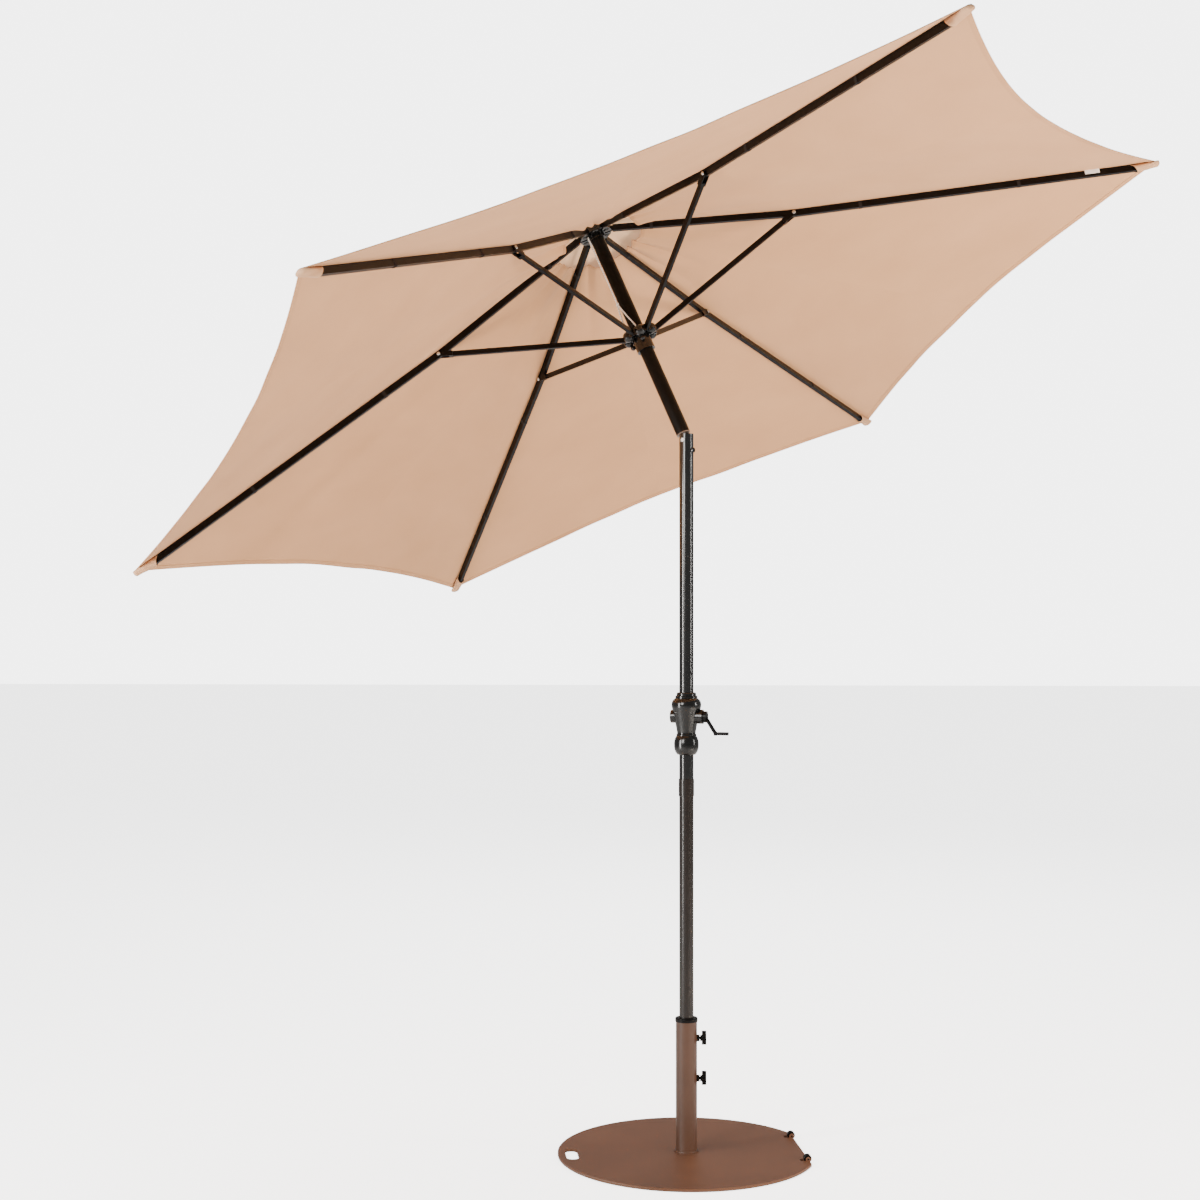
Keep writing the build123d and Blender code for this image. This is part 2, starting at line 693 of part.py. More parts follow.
SINGLES = {
    "base_plate": base_plate, "tube_bolts": tube_bolts, "base_tube": base_tube, "clamp_nuts": clamp_nuts,
    "base_collar": base_collar, "wheel_brackets": wheel_brackets, "wheel_axles": wheel_axles,
    "pole_foot": pole_foot, "lower_pole_tube": lower_pole_tube, "pole_sleeve": pole_sleeve,
    "middle_pole_tube": middle_pole_tube, "housing_screws": housing_screws, "crank_end_cap": crank_end_cap,
    "crank_shaft": crank_shaft, "cord_spool": cord_spool, "crank_arm": crank_arm, "crank_grip": crank_grip,
    "tilt_knuckle_lower": tilt_knuckle_lower, "tilt_knuckle_upper": tilt_knuckle_upper, "tilt_pin": tilt_pin,
    "tilt_button": tilt_button, "button_spring": button_spring, "upper_pole_tube": upper_pole_tube,
    "hub": hub, "hub_pins": hub_pins, "finial": finial, "runner": runner, "runner_pins": runner_pins,
    "vent_cap": vent_cap, "lift_cord_lower": lift_cord_lower, "lift_cord_inner": lift_cord_inner,
    "lift_cord_upper": lift_cord_upper, "cord_yoke": cord_yoke,
}
for name, builder in SINGLES.items():
    save(builder.part, name)
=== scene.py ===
import bpy
import json
import math
from mathutils import Matrix, Vector, noise


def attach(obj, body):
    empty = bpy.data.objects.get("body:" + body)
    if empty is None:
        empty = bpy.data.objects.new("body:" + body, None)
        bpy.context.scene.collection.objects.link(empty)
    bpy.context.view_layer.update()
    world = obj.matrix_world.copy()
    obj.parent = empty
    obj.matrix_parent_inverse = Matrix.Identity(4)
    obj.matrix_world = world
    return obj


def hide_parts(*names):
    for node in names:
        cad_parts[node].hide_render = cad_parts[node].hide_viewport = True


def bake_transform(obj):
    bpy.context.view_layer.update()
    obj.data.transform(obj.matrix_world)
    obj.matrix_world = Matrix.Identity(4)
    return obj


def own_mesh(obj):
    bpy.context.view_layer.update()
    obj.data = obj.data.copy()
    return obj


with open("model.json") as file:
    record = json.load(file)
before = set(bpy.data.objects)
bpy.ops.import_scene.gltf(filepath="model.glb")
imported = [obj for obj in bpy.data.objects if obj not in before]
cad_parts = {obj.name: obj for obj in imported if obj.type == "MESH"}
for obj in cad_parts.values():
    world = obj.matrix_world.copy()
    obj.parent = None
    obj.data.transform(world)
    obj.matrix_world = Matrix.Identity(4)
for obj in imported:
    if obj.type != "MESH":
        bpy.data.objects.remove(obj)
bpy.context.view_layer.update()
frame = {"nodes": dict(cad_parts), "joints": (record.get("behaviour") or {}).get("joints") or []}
joints = {j["name"]: j for j in frame["joints"]}


# ------------------------------------------------------------------ camera, floor and soft light
# The umbrella stands on a pale floor and is seen level with the middle of the pole.
floor_colour = (0.93, 0.92, 0.91, 1.0)
floor_glow_strength = 3.2
ambient_strength = 0.34
backdrop_strength = 5.0
camera_place = (0.0, -5.2236, 1.4662)
camera_pitch = math.radians(90) + 0.0018
camera_yaw = 0.0441

bpy.ops.object.select_all(action="DESELECT")
bpy.ops.object.camera_add(location=camera_place, rotation=(camera_pitch, 0.0, camera_yaw))
camera = bpy.context.object
camera.name = "camera"
camera.data.lens = 58.73
camera.data.sensor_width = 36.0
camera.data.clip_end = 200.0
bpy.context.scene.camera = camera

bpy.ops.mesh.primitive_plane_add(size=60.0, location=(0.0, 0.0, -0.0005))
floor = bpy.context.object
floor.name = "floor"
floor_finish = bpy.data.materials.new("pale_floor")
floor_finish.use_nodes = True
floor_shader = floor_finish.node_tree.nodes["Principled BSDF"]
floor_shader.inputs["Base Color"].default_value = floor_colour
floor_shader.inputs["Roughness"].default_value = 0.9
floor_shader.inputs["Specular IOR Level"].default_value = 0.1
floor_shader.inputs["Emission Color"].default_value = (1.0, 1.0, 1.0, 1.0)
floor_seen = floor_finish.node_tree.nodes.new("ShaderNodeLightPath")
floor_glow = floor_finish.node_tree.nodes.new("ShaderNodeMath")
floor_glow.operation = "MULTIPLY"
floor_glow.inputs[1].default_value = floor_glow_strength
floor_finish.node_tree.links.new(floor_seen.outputs["Is Camera Ray"], floor_glow.inputs[0])
floor_finish.node_tree.links.new(floor_glow.outputs["Value"], floor_shader.inputs["Emission Strength"])
floor.data.materials.append(floor_finish)

world = bpy.data.worlds.new("studio")
world.use_nodes = True
sky = world.node_tree
sky.nodes["Background"].inputs["Color"].default_value = (1.0, 0.985, 0.965, 1.0)
sky.nodes["Background"].inputs["Strength"].default_value = ambient_strength
backdrop = sky.nodes.new("ShaderNodeBackground")
backdrop.inputs["Color"].default_value = (1.0, 1.0, 1.0, 1.0)
backdrop.inputs["Strength"].default_value = backdrop_strength
seen = sky.nodes.new("ShaderNodeLightPath")
choose = sky.nodes.new("ShaderNodeMixShader")
sky.links.new(seen.outputs["Is Camera Ray"], choose.inputs["Fac"])
sky.links.new(sky.nodes["Background"].outputs["Background"], choose.inputs[1])
sky.links.new(backdrop.outputs["Background"], choose.inputs[2])
sky.links.new(choose.outputs["Shader"], sky.nodes["World Output"].inputs["Surface"])
bpy.context.scene.world = world


def soft_light(name, place, aim, wide, high, power, colour=(1.0, 0.98, 0.95)):
    bpy.ops.object.light_add(type="AREA", location=place)
    lamp = bpy.context.object
    lamp.name = name
    lamp.data.shape = "RECTANGLE"
    lamp.data.size = wide
    lamp.data.size_y = high
    lamp.data.energy = power
    lamp.data.color = colour
    toward = Vector(aim) - Vector(place)
    lamp.rotation_euler = toward.to_track_quat("-Z", "Y").to_euler()
    return lamp


soft_light("key_light", (-3.0, -4.4, 3.0), (0.0, 0.0, 1.7), 1.6, 2.4, 230.0)
soft_light("left_strip", (-3.4, -2.0, 1.4), (0.0, 0.0, 1.3), 0.35, 2.8, 170.0)
soft_light("right_strip", (3.4, -0.6, 1.9), (0.0, 0.0, 1.7), 0.16, 1.8, 40.0)
low_fill = soft_light("low_fill", (2.5, -1.7, 0.25), (0.6, 0.4, 2.3), 2.0, 1.8, 340.0, (1.0, 0.91, 0.80))
low_fill.visible_glossy = False
top_fill = soft_light("top_fill", (0.8, 4.2, 5.4), (-0.2, 0.2, 2.2), 3.5, 3.5, 420.0)
top_fill.visible_glossy = False


# ------------------------------------------------------------------ foot plate and socket tube
# Sheet steel and tube, welded and bolted, in brown textured powder paint with a fine orange-peel grain.
# The socket tube gets a darker copy of the same paint, as painted shade.
powder_brown = (0.092, 0.040, 0.021, 1.0)
powder_light = (0.122, 0.056, 0.031, 1.0)
# painted shade: the tube's darker copy of the plate's brown paint
shaded_tube_dark = (0.052, 0.025, 0.0155, 1.0)
shaded_tube_pale = (0.070, 0.035, 0.022, 1.0)


def new_finish(name):
    finish = bpy.data.materials.new(name)
    finish.use_nodes = True
    tree = finish.node_tree
    return finish, tree, tree.nodes["Principled BSDF"]


def grain_group():
    """Fine grain and slow variation over the surface, from the piece's own coordinates."""
    group = bpy.data.node_groups.new("surface_grain", "ShaderNodeTree")
    group.interface.new_socket("Grain Scale", in_out="INPUT", socket_type="NodeSocketFloat")
    group.interface.new_socket("Patch Scale", in_out="INPUT", socket_type="NodeSocketFloat")
    group.interface.new_socket("Grain", in_out="OUTPUT", socket_type="NodeSocketFloat")
    group.interface.new_socket("Patch", in_out="OUTPUT", socket_type="NodeSocketFloat")
    source = group.nodes.new("NodeGroupInput")
    result = group.nodes.new("NodeGroupOutput")
    place = group.nodes.new("ShaderNodeTexCoord")
    for scale, output, detail in (("Grain Scale", "Grain", 2.0), ("Patch Scale", "Patch", 4.0)):
        cloud = group.nodes.new("ShaderNodeTexNoise")
        cloud.inputs["Detail"].default_value = detail
        group.links.new(place.outputs["Object"], cloud.inputs["Vector"])
        group.links.new(source.outputs[scale], cloud.inputs["Scale"])
        group.links.new(cloud.outputs["Fac"], result.inputs[output])
    return group


surface_grain = grain_group()


def grained_finish(name, dark, light, rough, grain, patch, depth, metal=0.0, coat=0.0, gloss=0.5):
    """A painted, moulded or plated finish: two close colours in slow patches and a fine grain."""
    finish, tree, shader = new_finish(name)
    grain_node = tree.nodes.new("ShaderNodeGroup")
    grain_node.node_tree = surface_grain
    grain_node.inputs["Grain Scale"].default_value = grain
    grain_node.inputs["Patch Scale"].default_value = patch
    ramp = tree.nodes.new("ShaderNodeValToRGB")
    ramp.color_ramp.elements[0].position = 0.35
    ramp.color_ramp.elements[0].color = dark
    ramp.color_ramp.elements[1].position = 0.68
    ramp.color_ramp.elements[1].color = light
    tree.links.new(grain_node.outputs["Patch"], ramp.inputs["Fac"])
    tree.links.new(ramp.outputs["Color"], shader.inputs["Base Color"])
    spread = tree.nodes.new("ShaderNodeMapRange")
    spread.inputs["To Min"].default_value = rough * 0.85
    spread.inputs["To Max"].default_value = min(1.0, rough * 1.2)
    tree.links.new(grain_node.outputs["Patch"], spread.inputs["Value"])
    tree.links.new(spread.outputs["Result"], shader.inputs["Roughness"])
    bump = tree.nodes.new("ShaderNodeBump")
    bump.inputs["Strength"].default_value = depth
    bump.inputs["Distance"].default_value = 0.0004
    tree.links.new(grain_node.outputs["Grain"], bump.inputs["Height"])
    tree.links.new(bump.outputs["Normal"], shader.inputs["Normal"])
    shader.inputs["Metallic"].default_value = metal
    shader.inputs["Specular IOR Level"].default_value = gloss
    shader.inputs["Coat Weight"].default_value = coat
    shader.inputs["Coat Roughness"].default_value = 0.12
    return finish


def paint(finish, *names):
    for name in names:
        node = frame["nodes"][name]
        if node.material_slots:
            for spot in node.material_slots:
                spot.material = finish
        else:
            node.data.materials.append(finish)


powder_coat = grained_finish("brown_powder_coat", powder_brown, powder_light, rough=0.40,
                             grain=1400.0, patch=3.5, depth=0.30, gloss=0.35)
# painted shade: the same powder paint, darkened for the upright tube
shaded_tube_coat = grained_finish("shaded_brown_tube_coat", shaded_tube_dark, shaded_tube_pale, rough=0.36,
                           grain=1400.0, patch=3.5, depth=0.20, gloss=0.4)
paint(powder_coat, "base_plate", "wheel_brackets")
paint(shaded_tube_coat, "base_tube")


# ------------------------------------------------------------------ poles
# Round steel tube in enamel: dark bronze up to the joining sleeve, gloss black up to the tilt joint, and
# satin black above it. The enamel is smooth, so it shows long narrow highlights.
bronze_dark = (0.006, 0.0045, 0.0038, 1.0)
bronze_light = (0.012, 0.0085, 0.0068, 1.0)
black_dark = (0.0025, 0.0025, 0.0027, 1.0)
black_light = (0.005, 0.005, 0.005, 1.0)
satin_dark = (0.0012, 0.0012, 0.0013, 1.0)
satin_light = (0.0030, 0.0030, 0.0030, 1.0)

bronze_enamel = grained_finish("bronze_enamel", bronze_dark, bronze_light, rough=0.26,
                               grain=180.0, patch=5.0, depth=0.005, coat=0.1, gloss=0.32)
black_enamel = grained_finish("black_enamel", black_dark, black_light, rough=0.20,
                              grain=120.0, patch=5.0, depth=0.001, coat=0.5, gloss=0.5)
satin_black = grained_finish("satin_black", satin_dark, satin_light, rough=0.30,
                             grain=300.0, patch=8.0, depth=0.006, gloss=0.13)
paint(bronze_enamel, "lower_pole_tube", "pole_sleeve")
paint(black_enamel, "middle_pole_tube")
paint(satin_black, "upper_pole_tube", "clamp_stud_1", "clamp_stud_2", "clamp_nuts", "wheel_axles")


# ------------------------------------------------------------------ moulded pieces
# Crank housing, hub and runner are glossy black plastic; knobs, collar, crank and wheels are satin black.
# The tilt knuckle is grey nylon, tinted brownish as a painted reflection of the tan canopy.
moulded_dark = (0.0015, 0.0015, 0.0015, 1.0)
moulded_light = (0.003, 0.003, 0.003, 1.0)
# grey nylon with a brownish tint that is a painted reflection of the canopy
nylon_reflection_dark = (0.15, 0.10, 0.075, 1.0)
nylon_reflection_pale = (0.21, 0.15, 0.115, 1.0)

moulded_black = grained_finish("moulded_black", moulded_dark, moulded_light, rough=0.20,
                               grain=120.0, patch=8.0, depth=0.006, coat=0.2, gloss=0.4)
nylon_and_reflection = grained_finish("nylon_and_reflection", nylon_reflection_dark, nylon_reflection_pale, rough=0.34,
                            grain=700.0, patch=20.0, depth=0.05)
paint(moulded_black, "crank_housing_near", "crank_housing_far", "crank_end_cap", "hub", "runner", "finial",
      "tilt_button", "cord_spool")
paint(satin_black, "base_collar", "clamp_knob_1", "clamp_knob_2", "pole_foot", "crank_arm", "crank_grip",
      "wheel_1", "wheel_2")
paint(nylon_and_reflection, "tilt_knuckle_lower", "tilt_knuckle_upper")


# ------------------------------------------------------------------ plated steel
# Bolts, screws, pins, the tilt button's spring and the crank's shaft are zinc-plated steel.
zinc_dark = (0.50, 0.49, 0.47, 1.0)
zinc_light = (0.70, 0.69, 0.67, 1.0)

zinc_plate = grained_finish("zinc_plate", zinc_dark, zinc_light, rough=0.28,
                            grain=300.0, patch=60.0, depth=0.1, metal=1.0)
paint(zinc_plate, "tube_bolts", "housing_screws", "crank_shaft",
      "tilt_pin", "button_spring", "hub_pins", "runner_pins")


# ------------------------------------------------------------------ ribs and struts
# Rectangular steel tube in satin black; each strut straddles its rib and turns on a bright rivet.
rib_names = ["rib_" + str(k) for k in range(1, 7)]
strut_names = ["strut_" + str(k) for k in range(1, 7)]
paint(satin_black, *rib_names, *strut_names)

tilt_point = Vector(joints["tilt"]["pos_m"])
along_pole = -Vector(joints["cord_pull"]["axis"]).normalized()
tilt_axis = Vector(joints["tilt"]["axis"]).normalized()
across_pole = tilt_axis.cross(along_pole).normalized()
hub_height = 0.651
pin_ring = 0.0378
rib_turn = math.radians(33.04)
rib_step = math.radians(60)


def in_canopy(x, y, z):
    """A point given from the tilt joint: x and y across the upper pole, z along it."""
    return tilt_point + across_pole * x + tilt_axis * y + along_pole * z


def rib_direction(number):
    angle = rib_turn + rib_step * (number - 1)
    return across_pole * math.cos(angle) + tilt_axis * math.sin(angle)


def fold_axis(name):
    return Vector(joints[name + "_fold"]["axis"]).normalized()


def join_as(name, parts):
    bpy.ops.object.select_all(action="DESELECT")
    for part in parts:
        part.select_set(True)
    bpy.context.view_layer.objects.active = parts[0]
    bpy.ops.object.join()
    bpy.context.object.name = name
    return bpy.context.object


rivet_head = 0.0052
rivet_out = 0.0099
for strut_name in strut_names:
    joint_at = Vector(joints[strut_name + "_fold"]["pos_m"])
    sideways = fold_axis(strut_name)
    heads = []
    for hand in (1, -1):
        bpy.ops.object.select_all(action="DESELECT")
        bpy.ops.mesh.primitive_uv_sphere_add(segments=20, ring_count=10, radius=rivet_head)
        head = bpy.context.object
        bpy.ops.object.mode_set(mode="EDIT")
        bpy.ops.mesh.select_all(action="SELECT")
        bpy.ops.mesh.bisect(plane_co=(0, 0, 0), plane_no=(0, 0, 1), use_fill=True, clear_inner=True)
        bpy.ops.mesh.select_all(action="SELECT")
        bpy.ops.transform.resize(value=(1.0, 1.0, 0.55))
        bpy.ops.object.mode_set(mode="OBJECT")
        turn = (sideways * hand).to_track_quat("Z", "Y").to_matrix().to_4x4()
        head.data.transform(Matrix.Translation(joint_at + sideways * hand * rivet_out) @ turn)
        heads.append(head)
    rivet = join_as(strut_name.replace("strut", "rivet"), heads)
    bpy.ops.object.shade_smooth_by_angle(angle=math.radians(40))
    rivet.data.materials.append(zinc_plate)
    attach(rivet, strut_name)


# ------------------------------------------------------------------ canopy cloth
# Woven tan polyester cut in six panels, sewn along the ribs and stretched over them, with a scalloped hem.
# It is one continuous skin, and each rib carries the part of it that lies nearest.
cloth_dark = (0.485, 0.250, 0.119, 1.0)
cloth_light = (0.530, 0.278, 0.135, 1.0)
hem_dark = (0.44, 0.222, 0.102, 1.0)
hem_light = (0.50, 0.262, 0.127, 1.0)
canopy_threads = 260.0

inner_slope = math.radians(18.54)
outer_slope = math.radians(15.21)
inner_length = 0.5118
rib_bend = pin_ring + inner_length * math.cos(inner_slope)
bend_drop = inner_length * math.sin(inner_slope)
corner = 1.490
vent_edge = 0.145
vent_dip = 0.008
hem_dip = {1: 0.100, 2: 0.096, 3: 0.112, 4: 0.112, 5: 0.100, 6: 0.104}
half_panel = math.sqrt(3) / 4
cloth_above_rib = 0.0116
slack_at_vent = 0.004
slack_at_hem = 0.020
wave_depth = 0.010
ripple_depth = 0.0035
fold_depth = 0.045
fold_reach = 0.24


def rib_line(w):
    if w <= rib_bend:
        return -(w - pin_ring) * math.tan(inner_slope)
    return -bend_drop - (w - rib_bend) * math.tan(outer_slope)


def turned_to(number, x, y):
    """Turn a point given along and across a rib into the pole's own directions."""
    angle = rib_turn + rib_step * (number - 1)
    return (x * math.cos(angle) - y * math.sin(angle),
            x * math.sin(angle) + y * math.cos(angle))


def cloth_point(number, share, run, raise_by=0.0):
    """share runs from -1 to 1 across the part on this rib, run from 0 at the vent to 1 at the hem."""
    side = abs(share)
    bow = 1 - (1 - side) ** 2
    panel = number if share >= 0 else (number - 2) % 6 + 1
    outer = corner - hem_dip[panel] * bow
    inner = vent_edge - vent_dip * bow
    w = inner + (outer - inner) * run
    y = w * half_panel * share
    x = w - abs(y) * math.tan(rib_step / 2)
    slack = slack_at_vent + slack_at_hem * (w / corner) ** 1.5
    z = rib_line(w) - slack * bow
    px, py = turned_to(number, x, y)
    free = side ** 0.8 * min(1.0, 4 * run + 0.2)
    z += free * wave_depth * noise.noise(Vector((px * 2.1, py * 2.1, 3.7)))
    z += free * ripple_depth * noise.noise(Vector((px * 7.0, py * 7.0, 9.1)))
    turn = math.atan2(py, px)
    fold = abs(noise.noise(Vector((math.cos(turn) * 3.4, math.sin(turn) * 3.4, 5.0 + w * 1.2))))
    z -= side ** 0.7 * fold_depth * math.exp(-(w - vent_edge) / fold_reach) * min(0.5, fold)
    return in_canopy(px, py, hub_height + cloth_above_rib + z + raise_by), (y, w)


def weave_group():
    """Crossed threads from the piece's own flat layout, with slow changes of shade."""
    group = bpy.data.node_groups.new("cloth_weave", "ShaderNodeTree")
    group.interface.new_socket("Threads", in_out="INPUT", socket_type="NodeSocketFloat")
    group.interface.new_socket("Height", in_out="OUTPUT", socket_type="NodeSocketFloat")
    group.interface.new_socket("Shade", in_out="OUTPUT", socket_type="NodeSocketFloat")
    source = group.nodes.new("NodeGroupInput")
    result = group.nodes.new("NodeGroupOutput")
    layout = group.nodes.new("ShaderNodeUVMap")
    waves = []
    for direction in ("X", "Y"):
        wave = group.nodes.new("ShaderNodeTexWave")
        wave.bands_direction = direction
        wave.inputs["Distortion"].default_value = 0.6
        group.links.new(layout.outputs["UV"], wave.inputs["Vector"])
        group.links.new(source.outputs["Threads"], wave.inputs["Scale"])
        waves.append(wave)
    over = group.nodes.new("ShaderNodeMath")
    over.operation = "MAXIMUM"
    group.links.new(waves[0].outputs["Fac"], over.inputs[0])
    group.links.new(waves[1].outputs["Fac"], over.inputs[1])
    group.links.new(over.outputs["Value"], result.inputs["Height"])
    cloud = group.nodes.new("ShaderNodeTexNoise")
    cloud.inputs["Scale"].default_value = 5.0
    cloud.inputs["Detail"].default_value = 5.0
    group.links.new(layout.outputs["UV"], cloud.inputs["Vector"])
    group.links.new(cloud.outputs["Fac"], result.inputs["Shade"])
    return group


cloth_weave = weave_group()


def cloth_finish(name, dark, light, threads, sheen=0.06):
    finish, tree, shader = new_finish(name)
    weave = tree.nodes.new("ShaderNodeGroup")
    weave.node_tree = cloth_weave
    weave.inputs["Threads"].default_value = threads
    ramp = tree.nodes.new("ShaderNodeValToRGB")
    ramp.color_ramp.elements[0].position = 0.3
    ramp.color_ramp.elements[0].color = dark
    ramp.color_ramp.elements[1].position = 0.7
    ramp.color_ramp.elements[1].color = light
    tree.links.new(weave.outputs["Shade"], ramp.inputs["Fac"])
    tree.links.new(ramp.outputs["Color"], shader.inputs["Base Color"])
    bump = tree.nodes.new("ShaderNodeBump")
    bump.inputs["Strength"].default_value = 0.25
    bump.inputs["Distance"].default_value = 0.0003
    tree.links.new(weave.outputs["Height"], bump.inputs["Height"])
    tree.links.new(bump.outputs["Normal"], shader.inputs["Normal"])
    shader.inputs["Roughness"].default_value = 0.85
    shader.inputs["Sheen Weight"].default_value = sheen
    shader.inputs["Sheen Roughness"].default_value = 0.5
    return finish


canopy_cloth = cloth_finish("canopy_cloth", cloth_dark, cloth_light, canopy_threads)
hem_cloth = cloth_finish("hem_cloth", hem_dark, hem_light, canopy_threads)


def laid_cloth(name, number, rows, thickness, columns=64, spread=1.6, raise_by=0.0, runs=(0.0, 1.0),
               half_width=0.0):
    """A strip of cloth over one rib, modelled on a grid and laid on the canopy's surface."""
    bpy.ops.object.select_all(action="DESELECT")
    bpy.ops.mesh.primitive_grid_add(x_subdivisions=columns, y_subdivisions=rows, size=2.0)
    piece = bpy.context.object
    piece.name = name
    layout = piece.data.uv_layers.active or piece.data.uv_layers.new(name="layout")
    flat = {}
    for vertex in piece.data.vertices:
        raw = vertex.co.x
        share = math.copysign(abs(raw) ** spread, raw)
        run = runs[0] + (vertex.co.y + 1) / 2 * (runs[1] - runs[0])
        if half_width:
            share = raw * half_width / (half_panel * (vent_edge + (corner - vent_edge) * run))
        vertex.co, flat[vertex.index] = cloth_point(number, share, run, raise_by)
    for loop in piece.data.loops:
        layout.data[loop.index].uv = flat[loop.vertex_index]
    bpy.ops.object.mode_set(mode="EDIT")
    bpy.ops.mesh.select_all(action="SELECT")
    bpy.ops.mesh.normals_make_consistent(inside=False)
    bpy.ops.object.mode_set(mode="OBJECT")
    middle = piece.data.polygons[len(piece.data.polygons) // 2]
    if middle.normal.dot(along_pole) < 0:
        piece.data.flip_normals()
    wall = piece.modifiers.new("thickness", "SOLIDIFY")
    wall.thickness = thickness
    wall.offset = 1.0
    bpy.ops.object.modifier_apply(modifier=wall.name)
    bpy.ops.object.shade_smooth_by_angle(angle=math.radians(35))
    return piece


hem_run = (0.987, 1.0)
binding_run = (0.0, 0.009)
seam_half_width = 0.008
for k in range(1, 7):
    gore = laid_cloth("canopy_" + str(k), k, 80, 0.0006)
    gore.data.materials.append(canopy_cloth)
    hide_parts("gore_" + str(k))
    hem_under = laid_cloth("hem_under_" + str(k), k, 3, 0.0007, raise_by=-0.0009, runs=hem_run)
    hem_over = laid_cloth("hem_over_" + str(k), k, 3, 0.0005, raise_by=0.0007, runs=hem_run)
    ridge_seam = laid_cloth("ridge_seam_" + str(k), k, 80, 0.0006, columns=4, spread=1.0, raise_by=0.0007,
                            half_width=seam_half_width)
    vent_binding = laid_cloth("vent_binding_" + str(k), k, 3, 0.0007, raise_by=-0.0009, runs=binding_run)
    for piece in (hem_under, hem_over, ridge_seam, vent_binding):
        piece.data.materials.append(hem_cloth)
    for piece in (gore, hem_under, hem_over, ridge_seam, vent_binding):
        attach(piece, "rib_" + str(k))
        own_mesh(piece)


# ------------------------------------------------------------------ corner pockets
# The cloth is folded under at each corner into a small sewn pocket, and the rib's end pushes out into it.
def rolled_cloth(name, columns, rows, place, layout_size, thickness=0.0):
    """A grid rolled or bent to a shape: place(u, v) gives each point, with u and v from 0 to 1."""
    bpy.ops.object.select_all(action="DESELECT")
    bpy.ops.mesh.primitive_grid_add(x_subdivisions=columns, y_subdivisions=rows, size=1.0)
    piece = bpy.context.object
    piece.name = name
    layout = piece.data.uv_layers.active or piece.data.uv_layers.new(name="layout")
    flat = {}
    for vertex in piece.data.vertices:
        u, v = vertex.co.x + 0.5, vertex.co.y + 0.5
        flat[vertex.index] = (u * layout_size[0], v * layout_size[1])
        vertex.co = place(u, v)
    for loop in piece.data.loops:
        layout.data[loop.index].uv = flat[loop.vertex_index]
    bpy.ops.object.mode_set(mode="EDIT")
    bpy.ops.mesh.select_all(action="SELECT")
    bpy.ops.mesh.remove_doubles(threshold=0.0001)
    bpy.ops.mesh.normals_make_consistent(inside=False)
    bpy.ops.object.mode_set(mode="OBJECT")
    if thickness:
        wall = piece.modifiers.new("thickness", "SOLIDIFY")
        wall.thickness = thickness
        wall.offset = 0.0
        bpy.ops.object.modifier_apply(modifier=wall.name)
    bpy.ops.object.shade_smooth_by_angle(angle=math.radians(40))
    return piece


pocket_dark = (0.44, 0.235, 0.120, 1.0)
pocket_light = (0.60, 0.36, 0.205, 1.0)
pocket_cloth = cloth_finish("pocket_cloth", pocket_dark, pocket_light, canopy_threads)
pocket_start = 1.424
pocket_end = 1.496


def pocket_point(number):
    out = rib_direction(number)
    sideways = fold_axis("rib_" + str(number))

    def place(u, v):
        w = pocket_start + (pocket_end - pocket_start) * v
        turn = 2 * math.pi * u
        closing = math.sqrt(max(0.0, 1 - max(0.0, (v - 0.88) / 0.12) ** 2))
        half_wide = (0.0115 + 0.0035 * v) * closing
        half_high = (0.0125 - 0.0065 * v) * closing
        centre = tilt_point + along_pole * (hub_height + rib_line(w) + 0.0108 - half_high) + out * w
        crease = 1 + 0.16 * noise.noise(Vector((number * 3.1 + math.cos(turn), math.sin(turn), v * 3.0)))
        mouth = 0.006 * math.sin(turn) * (1 - v)
        return (centre + sideways * math.cos(turn) * half_wide * crease
                + along_pole * math.sin(turn) * half_high * crease - out * mouth)

    return place


for k in range(1, 7):
    pocket = rolled_cloth("corner_pocket_" + str(k), 36, 22, pocket_point(k), (0.09, 0.1), thickness=0.0009)
    pocket.data.materials.append(pocket_cloth)
    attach(pocket, "rib_" + str(k))


# ------------------------------------------------------------------ rib ties and the size tag
# Short straps of dark tape are sewn to the cloth and looped round each rib; one rib has a small blank tag.
tape_dark = (0.006, 0.005, 0.005, 1.0)
tape_light = (0.012, 0.010, 0.009, 1.0)
tag_grey = (0.78, 0.77, 0.74, 1.0)
tag_white = (0.86, 0.85, 0.83, 1.0)
tape_finish = cloth_finish("dark_tape", tape_dark, tape_light, 500.0, sheen=0.0)
tag_finish = cloth_finish("blank_tag", tag_grey, tag_white, 300.0, sheen=0.0)
rib_half_wide = 0.0055
rib_half_high = 0.009
tie_places = (0.152, 0.70, 1.12)
tie_width = 0.009
tie_clear = 0.0009


def rib_frame(number, w):
    """A rib's centre at w, and the directions along it and up from it."""
    out = rib_direction(number)
    slope = inner_slope if w < rib_bend else outer_slope
    along = out * math.cos(slope) - along_pole * math.sin(slope)
    up = out * math.sin(slope) + along_pole * math.cos(slope)
    centre = tilt_point + along_pole * (hub_height + rib_line(w)) + out * w
    return centre, along, up


def rib_loop(name, number, w):
    centre, along, up = rib_frame(number, w)
    sideways = fold_axis("rib_" + str(number))

    def place(u, v):
        turn = 2 * math.pi * u
        c, d = math.cos(turn), math.sin(turn)
        wide = math.copysign(abs(c) ** 0.35, c) * (rib_half_wide + tie_clear)
        high = math.copysign(abs(d) ** 0.35, d) * (rib_half_high + tie_clear)
        return centre + sideways * wide + up * high + along * (v - 0.5) * tie_width

    return rolled_cloth(name, 40, 4, place, (0.06, tie_width), thickness=0.0007)


for k in range(1, 7):
    for place_number, w in enumerate(tie_places, start=1):
        tie = rib_loop("tie_" + str(k) + "_" + str(place_number), k, w)
        tie.data.materials.append(tape_finish)
        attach(tie, "rib_" + str(k))
tag_rib = 4
tag_place = 1.315
tag_high = 0.012
tag_long = 0.040
tag_centre, tag_along, tag_up = rib_frame(tag_rib, tag_place)
tag_sideways = fold_axis("rib_4")
tag_sideways *= math.copysign(1.0, tag_sideways.dot(Vector((0.0, -1.0, 0.0))))


